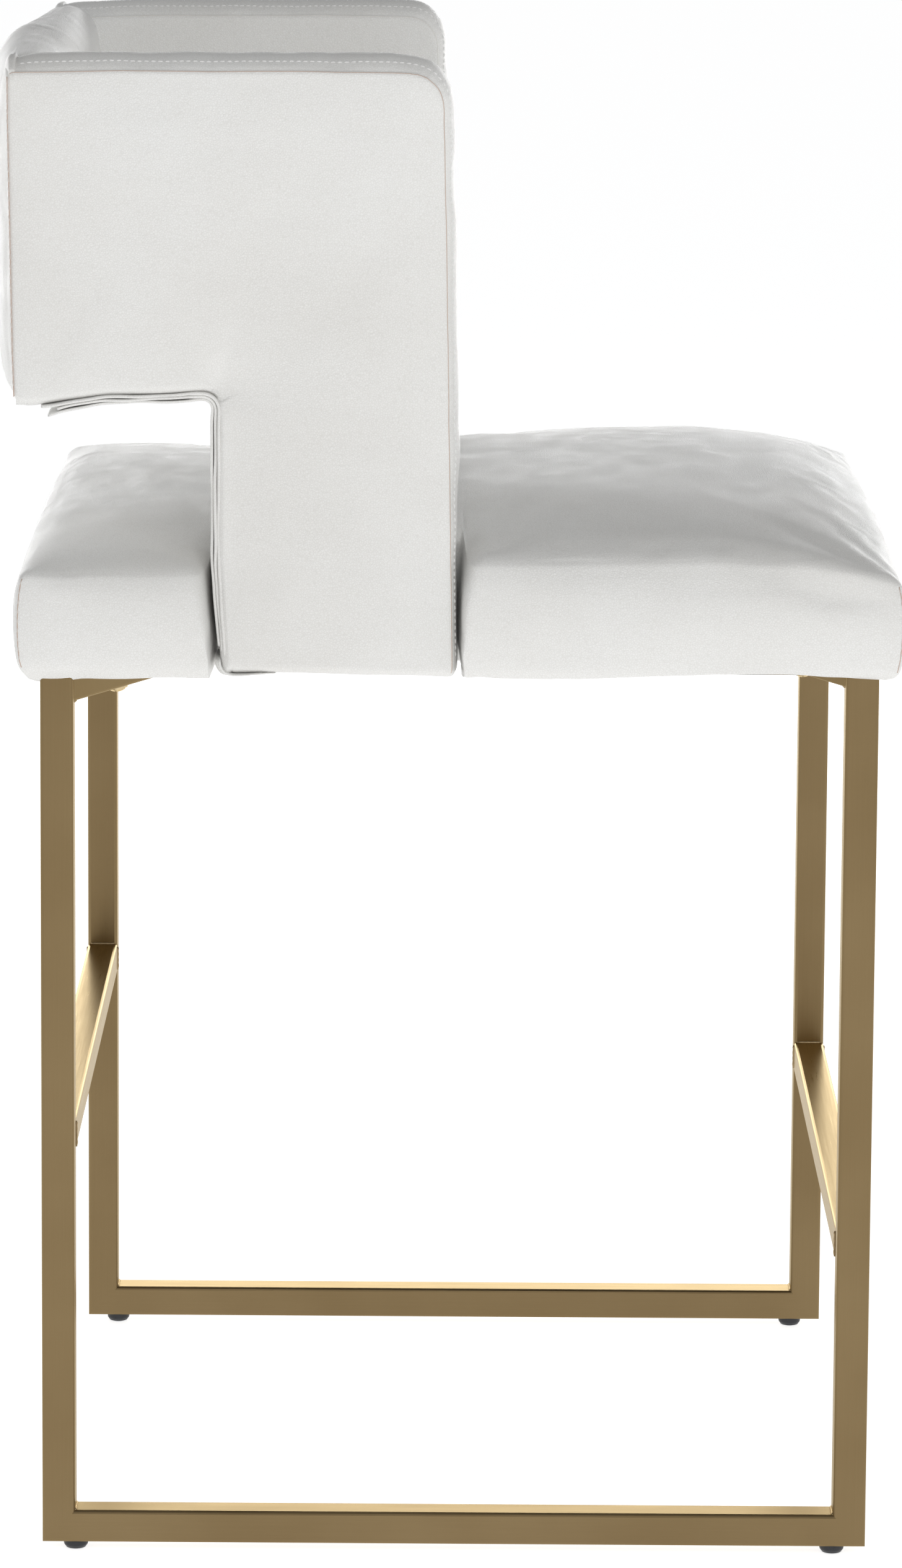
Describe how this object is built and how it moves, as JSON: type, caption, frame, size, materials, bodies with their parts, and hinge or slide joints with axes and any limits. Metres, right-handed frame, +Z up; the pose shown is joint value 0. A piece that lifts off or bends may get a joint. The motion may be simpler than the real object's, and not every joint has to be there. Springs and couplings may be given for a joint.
{
  "type": "counter-height bar stool with footrests",
  "caption": "Counter-height bar stool: square-tube sled base with front and rear footrests, boxed upholstered seat, and a wraparound back whose arms run down to the seat as posts.",
  "frame": {"origin": "on the floor, under the middle of the whole stool's bounding box; the middle of the base is 12.5 mm in front of it", "axes": "+Z up, the sitter faces -Y, +X is the sitter's left"},
  "size_m": [0.532, 0.567, 0.92],
  "materials": {
    "frame_gold": "satin",
    "bolt_gold": "satin",
    "zinc_steel": "satin",
    "glide_black": "matte",
    "upholstery": "satin",
    "foam": "matte",
    "plywood": "matte",
    "dust_cloth": "matte"
  },
  "bodies": {
    "root": {"right_front_leg": "frame_gold", "right_rear_leg": "frame_gold", "right_floor_rail": "frame_gold", "left_front_leg": "frame_gold", "left_rear_leg": "frame_gold", "left_floor_rail": "frame_gold", "front_footrest": "frame_gold", "rear_footrest": "frame_gold", "right_front_brace": "frame_gold", "left_front_brace": "frame_gold", "right_rear_brace": "frame_gold", "left_rear_brace": "frame_gold", "centre_spine": "frame_gold", "leg_top_plates": "frame_gold", "glides": "glide_black", "dust_cover": "dust_cloth", "seat_board": "plywood", "seat_foam": "foam", "seat_cover": "upholstery", "seat_bolts": "bolt_gold", "seat_washers": "bolt_gold", "seat_tee_nuts": "zinc_steel", "right_arm_board": "plywood", "right_arm_foam": "foam", "right_arm_cover": "upholstery", "right_arm_edge_trim": "upholstery", "left_arm_board": "plywood", "left_arm_foam": "foam", "left_arm_cover": "upholstery", "left_arm_edge_trim": "upholstery", "right_arm_bracket": "zinc_steel", "left_arm_bracket": "zinc_steel", "arm_bracket_screws": "zinc_steel", "bracket_seat_screws": "zinc_steel", "arm_tee_nuts": "zinc_steel", "back_board": "plywood", "back_corner_screws": "zinc_steel", "back_front_foam": "foam", "back_rear_foam": "foam", "back_cover": "upholstery"}
  },
  "joints": []
}
